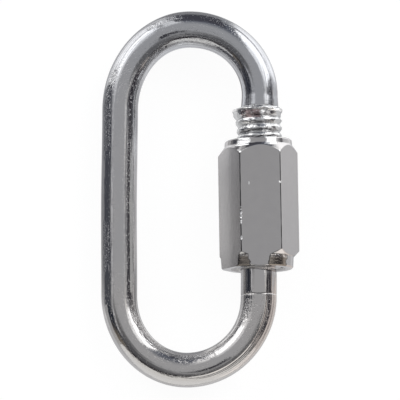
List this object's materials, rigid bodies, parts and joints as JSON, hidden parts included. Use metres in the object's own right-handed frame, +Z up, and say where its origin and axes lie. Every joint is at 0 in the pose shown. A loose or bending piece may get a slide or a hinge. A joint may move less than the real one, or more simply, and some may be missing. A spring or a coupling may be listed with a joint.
{
  "type": "quick link",
  "caption": "Bent round rod with a gap in one leg, closed by a long hexagon sleeve nut on a fine thread, for joining chain, rope or tackle.",
  "frame": {"origin": "on the surface that the link lies on, under the middle of its outline", "axes": "+Y runs along the legs towards the end where the thread shows, +Z is up, and the nut's leg is on the +X side"},
  "size_m": [0.0182, 0.0348, 0.0063],
  "materials": {
    "rod": "bright plated steel, mirror-like, with faint pits and drawing marks",
    "nut": "bright plated steel, flats slightly softer than the rod"
  },
  "bodies": {
    "link": {"link_body": "rod"},
    "nut": {"sleeve_nut": "nut"}
  },
  "joints": [
    {"name": "nut_travel", "type": "slide", "parent": "link", "child": "nut", "axis": [0, 1, 0], "range_m": [-0.0007, 0.0056]}
  ]
}
